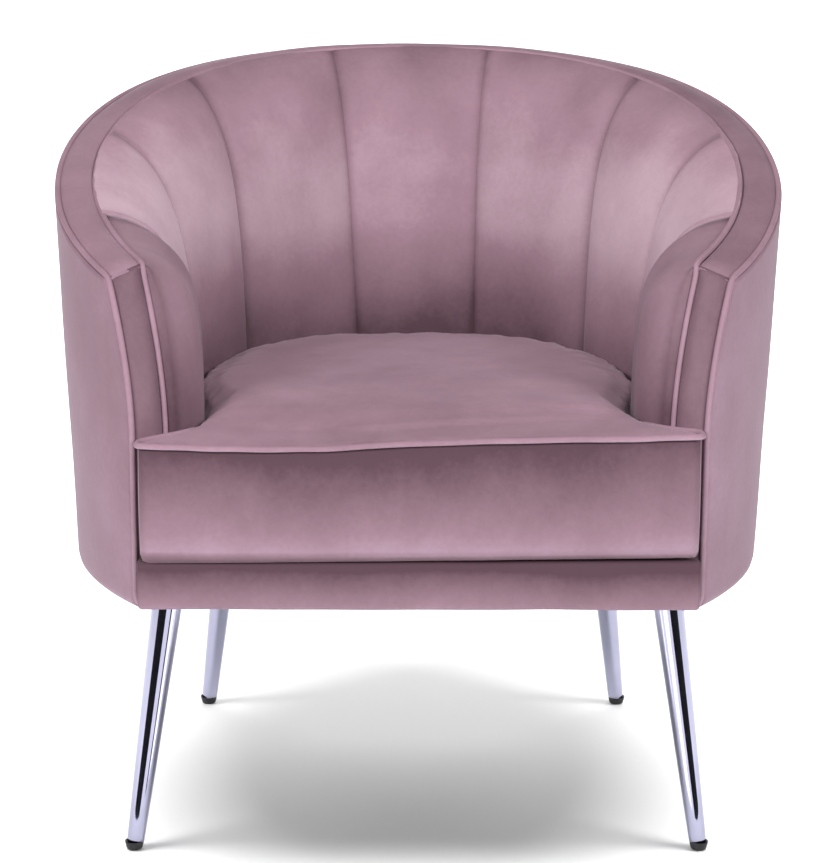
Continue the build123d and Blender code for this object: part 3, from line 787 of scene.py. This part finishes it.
plastic = Recipe("glide_plastic", Specular_IOR_Level=0.4)
grain = plastic.noise(900.0, 2.0)
plastic.feed("Base Color", plastic.mix(grain, (0.006, 0.006, 0.007), (0.014, 0.014, 0.016)))
plastic.feed("Roughness", 0.38 + grain * 0.15)
plastic.bump(grain, 0.0002, 0.4)

LEG_TOP, LEG_TOP_RADIUS, LEG_FOOT_RADIUS = 0.272, 0.0155, 0.0085
GLIDE_HEIGHT = 0.0085
LEG_SPOTS = {
    "front": ((0.285, -0.254), (0.2466, -0.2459)),
    "back": ((0.2395, 0.2095), (0.2066, 0.1696)),
}


def leg_piece(name, foot, top):
    """Tapered tube cut level at the body and at the glide."""
    start, end = Vector((*foot, 0)), Vector((*top, LEG_TOP))
    direction = (end - start).normalized()
    length = (end - start).length
    bm = bmesh.new()
    bmesh.ops.create_cone(bm, cap_ends=True, segments=72, radius1=LEG_FOOT_RADIUS - 0.0003,
                          radius2=LEG_TOP_RADIUS + 0.0003, depth=length + 0.02)
    ring_edges = [edge for edge in bm.edges if edge.calc_length() > 0.1]
    bmesh.ops.subdivide_edges(bm, edges=ring_edges, cuts=24)
    bmesh.ops.rotate(bm, verts=bm.verts, matrix=direction.to_track_quat("Z", "Y").to_matrix())
    bmesh.ops.translate(bm, verts=bm.verts, vec=(start + end) / 2)
    for height, outward in ((LEG_TOP, 1), (GLIDE_HEIGHT, -1)):
        geometry = bm.verts[:] + bm.edges[:] + bm.faces[:]
        cut = bmesh.ops.bisect_plane(bm, geom=geometry, plane_co=(0, 0, height),
                                     plane_no=(0, 0, outward), clear_outer=True)
        rim = [item for item in cut["geom_cut"] if isinstance(item, bmesh.types.BMEdge)]
        bmesh.ops.contextual_create(bm, geom=rim)
    piece = mesh_piece(name, bm, chrome.material)
    for face in piece.data.polygons:
        face.use_smooth = abs(face.normal.z) < 0.8
    return piece


def glide_piece(name, foot):
    """Turned cup with a rounded underside and a flared lip."""
    profile = ((0.0, 0.0), (0.0062, 0.0), (0.0078, 0.0012), (0.0085, 0.0034), (0.0092, 0.0066),
               (0.0096, 0.0084), (0.0093, 0.0089), (0.0087, 0.0087), (0.0084, 0.0082),
               (0.0, 0.0082))
    bm = bmesh.new()
    verts = [bm.verts.new((radius, 0, height)) for radius, height in profile]
    edges = [bm.edges.new(pair) for pair in zip(verts, verts[1:])]
    bmesh.ops.spin(bm, geom=verts + edges, cent=(0, 0, 0), axis=(0, 0, 1), angle=2 * pi, steps=48,
                   use_merge=True)
    bmesh.ops.remove_doubles(bm, verts=bm.verts, dist=1e-6)
    bmesh.ops.recalc_face_normals(bm, faces=bm.faces)
    bmesh.ops.translate(bm, verts=bm.verts, vec=(*foot, 0))
    return mesh_piece(name, bm, plastic.material)


for end, (foot, top) in LEG_SPOTS.items():
    for side, hand in ((-1, "left"), (1, "right")):
        place = f"{end}_{hand}"
        leg = leg_piece(f"leg_{place}", (side * foot[0], foot[1]), (side * top[0], top[1]))
        glide = glide_piece(f"glide_{place}", (side * foot[0], foot[1]))
        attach(leg, "root")
        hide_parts(f"leg_{place}")
        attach(glide, "root")
        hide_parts(f"glide_{place}")


# Frame and lining: beech rails and posts, bent ply, springs, cloths and wadding, all closed
# in by the velvet. The black bottom cloth is the only one in sight, from below.
def wood(name, pale, dark, across):
    made = Recipe(name)
    rings = made.noise(14.0, 5.0, where=made.stretched(across))
    pores = made.noise(240.0, 2.0, where=made.stretched(across))
    made.feed("Base Color", made.mix(rings * 0.8 + pores * 0.2, dark, pale))
    made.feed("Roughness", 0.55 + pores * 0.2)
    made.bump(pores, 0.0003, 0.4)
    return made.material


def cloth(name, pale, dark, threads):
    made = Recipe(name, Sheen_Weight=0.2)
    fibres = made.noise(threads, 4.0)
    made.feed("Base Color", made.mix(fibres, dark, pale))
    made.feed("Roughness", 0.8 + fibres * 0.15)
    made.bump(fibres, 0.0004, 0.5)
    return made.material


def steel(name, pale, dark, roughness):
    made = Recipe(name, Metallic=1.0)
    haze = made.noise(90.0, 3.0)
    made.feed("Base Color", made.mix(haze, dark, pale))
    made.feed("Roughness", roughness + haze * 0.15)
    return made.material


FINISHES = {
    "beech": wood("beech", (0.60, 0.42, 0.26), (0.42, 0.27, 0.15), (1, 1, 8)),
    "plywood": wood("plywood", (0.62, 0.47, 0.30), (0.45, 0.31, 0.18), (1, 1, 14)),
    "wadding": cloth("wadding", (0.80, 0.78, 0.72), (0.62, 0.58, 0.50), 420.0),
    "deck_fabric": cloth("deck_fabric", (0.02, 0.02, 0.022), (0.010, 0.010, 0.011), 600.0),
    "dust_fabric": cloth("dust_fabric", (0.022, 0.022, 0.024), (0.008, 0.008, 0.009), 700.0),
    "foam": cloth("foam", (0.80, 0.74, 0.52), (0.66, 0.60, 0.40), 500.0),
    "spring_steel": steel("spring_steel", (0.30, 0.30, 0.31), (0.16, 0.16, 0.17), 0.35),
    "zinc_steel": steel("zinc_steel", (0.66, 0.66, 0.64), (0.50, 0.50, 0.50), 0.28),
}
for row in frame["record"]["subparts"]:
    if row["material_slot"] in FINISHES:
        node = frame["nodes"][row["node"]]
        node.data.materials.clear()
        node.data.materials.append(FINISHES[row["material_slot"]])


# Studio: a pale floor that runs up into a pale wall, a broad soft light overhead and two
# softer ones in front. Dark and bright screens stand close to the legs, where only the
# chrome shows them.
backdrop = Recipe("backdrop", Roughness=0.9, Emission_Color=(1, 1, 1, 1), Emission_Strength=0.14)
paper = backdrop.noise(3.0, 2.0)
backdrop.feed("Base Color", backdrop.mix(paper, (0.86, 0.86, 0.86), (0.88, 0.88, 0.88)))
bm = bmesh.new()
bmesh.ops.create_grid(bm, x_segments=1, y_segments=40, size=1.0)
for vert in bm.verts:
    run = (vert.co.y + 1) * 6.0
    x = vert.co.x * 9
    if run < 8:
        vert.co = (x, run - 5, 0)
    else:
        bend = min(pi / 2, (run - 8) / 2)
        vert.co = (x, 3 + 2 * sin(bend), 2 * (1 - cos(bend)) + max(0.0, run - 8 - pi))
floor = mesh_piece("floor", bm, backdrop.material)


def soft_light(name, place, aim, size, power, tint=(1, 1, 1)):
    """Rectangular lamp that faces a point."""
    lamp = bpy.data.lights.new(name, "AREA")
    lamp.shape = "RECTANGLE"
    lamp.size, lamp.size_y = size
    lamp.energy = power
    lamp.color = tint
    holder = bpy.data.objects.new(name, lamp)
    holder.location = place
    holder.rotation_mode = "QUATERNION"
    holder.rotation_quaternion = (Vector(aim) - Vector(place)).to_track_quat("-Z", "Y")
    scene.collection.objects.link(holder)


def light_only(name, state, lamps):
    """Links lamps so that they light the floor alone, or everything except it."""
    group = bpy.data.collections.new(name)
    group.objects.link(floor)
    group.collection_objects[0].light_linking.link_state = state
    for lamp in lamps:
        bpy.data.objects[lamp].light_linking.receiver_collection = group


soft_light("overhead", (0.0, -0.3, 2.6), (0, 0.0, 0.3), (1.8, 1.8), 42, (1.0, 0.98, 0.97))
soft_light("left", (-1.75, -2.3, 1.75), (0, 0, 0.5), (1.0, 1.0), 84, (0.98, 0.97, 1.0))
soft_light("right", (1.75, -2.3, 1.75), (0, 0, 0.5), (1.0, 1.0), 72, (0.98, 0.97, 1.0))
light_only("not_floor", "EXCLUDE", ("overhead", "left", "right"))

# The floor has broad lights of its own, which give the soft shadow under the seat.
soft_light("floor_left", (-1.05, -0.55, 2.3), (0, -0.1, 0), (0.8, 1.0), 52)
soft_light("floor_right", (1.05, -0.55, 2.3), (0, -0.1, 0), (0.8, 1.0), 52)
soft_light("floor_far", (0.0, 3.4, 2.8), (0, 3.4, 0), (6.0, 2.4), 200)
light_only("floor_only", "INCLUDE", ("floor_left", "floor_right", "floor_far"))

card_paper = Recipe("card_paper", Roughness=0.9)
weave = card_paper.noise(40.0, 2.0)
card_paper.feed("Base Color", card_paper.mix(weave, (0.008, 0.008, 0.009), (0.014, 0.014, 0.015)))
glow_paper = Recipe("glow_paper", Emission_Color=(1, 1, 1, 1), Emission_Strength=2.4)
weave = glow_paper.noise(40.0)
glow_paper.feed("Base Color", glow_paper.mix(weave, (0.80, 0.80, 0.80), (0.85, 0.85, 0.85)))
CARD_Y, CARD_HEIGHT, CARD_SLANT = -0.355, 0.27, 0.14
for name, near, far, lean, paper in (
    ("card_left", -0.43, -0.275, 1, card_paper),
    ("card_middle", -0.205, -0.175, 1, card_paper),
    ("card_glow_left", -0.16, -0.02, 1, glow_paper),
    ("card_glow_right", 0.16, 0.245, -1, glow_paper),
    ("card_right", 0.285, 0.46, -1, card_paper),
):
    bm = bmesh.new()
    bmesh.ops.create_grid(bm, x_segments=1, y_segments=1, size=0.5)
    bmesh.ops.scale(bm, verts=bm.verts, vec=(far - near, CARD_HEIGHT, 1))
    bmesh.ops.rotate(bm, verts=bm.verts, matrix=Matrix.Rotation(pi / 2, 3, "X"))
    bmesh.ops.translate(bm, verts=bm.verts, vec=((near + far) / 2, CARD_Y, CARD_HEIGHT / 2 + 0.001))
    for vert in bm.verts:
        vert.co.x += lean * CARD_SLANT * vert.co.z
    card = mesh_piece(name, bm, paper.material)
    card.visible_camera = False
    card.visible_diffuse = False
    card.visible_shadow = False
    card.visible_transmission = False

world = bpy.data.worlds.new("studio")
world.use_nodes = True
world.node_tree.nodes["Background"].inputs["Color"].default_value = (1, 1, 1, 1)
world.node_tree.nodes["Background"].inputs["Strength"].default_value = 0.22
scene.world = world
